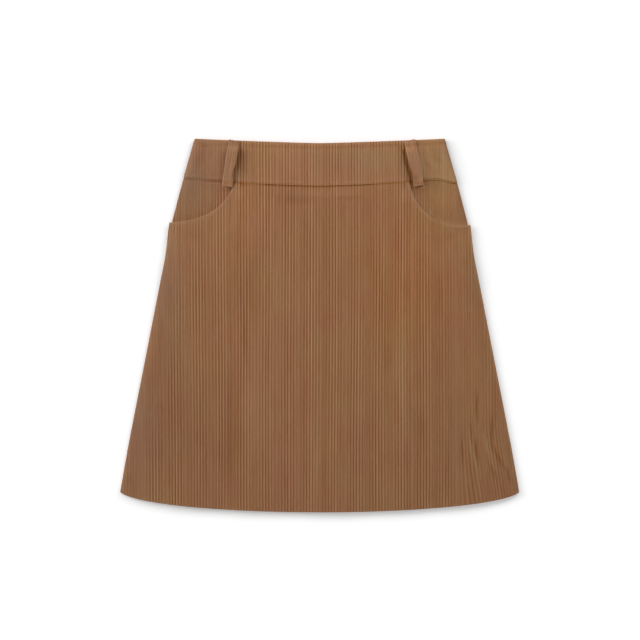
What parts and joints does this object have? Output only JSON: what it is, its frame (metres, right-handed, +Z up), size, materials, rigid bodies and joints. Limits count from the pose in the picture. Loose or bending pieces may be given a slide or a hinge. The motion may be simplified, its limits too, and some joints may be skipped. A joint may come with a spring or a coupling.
{
  "type": "skort",
  "caption": "Corduroy A-line skort laid flat, with a shaped waistband, slanted belt loops, curved front pockets and hidden inner shorts.",
  "frame": {"origin": "middle of the footprint, on the surface that it lies on", "axes": "+X across the garment, +Y from the hem to the waist, +Z up from the surface, with the front facing up"},
  "size_m": [0.52, 0.486, 0.0145],
  "materials": {
    "corduroy": "matt wide-wale corduroy, caramel brown",
    "corduroy_facing": "matt corduroy, caramel brown, a little darker",
    "corduroy_band": "matt corduroy, caramel brown, a little lighter",
    "corduroy_loop": "matt corduroy, caramel brown, lightest",
    "shorts_cloth": "plain fine weave, brown",
    "zip_tape": "woven tape with a coil, brown"
  },
  "bodies": {
    "root": {"front_panel": "corduroy", "back_panel_left": "corduroy", "back_panel_right": "corduroy", "pocket_facing_left": "corduroy_facing", "pocket_facing_right": "corduroy_facing", "front_waistband": "corduroy_band", "back_waistband_left": "corduroy_band", "back_waistband_right": "corduroy_band", "belt_loop_front_left": "corduroy_loop", "belt_loop_front_right": "corduroy_loop", "belt_loop_back_left": "corduroy_loop", "belt_loop_back_right": "corduroy_loop", "shorts_front_left": "shorts_cloth", "shorts_front_right": "shorts_cloth", "shorts_back_left": "shorts_cloth", "shorts_back_right": "shorts_cloth", "back_zip": "zip_tape"}
  },
  "joints": []
}
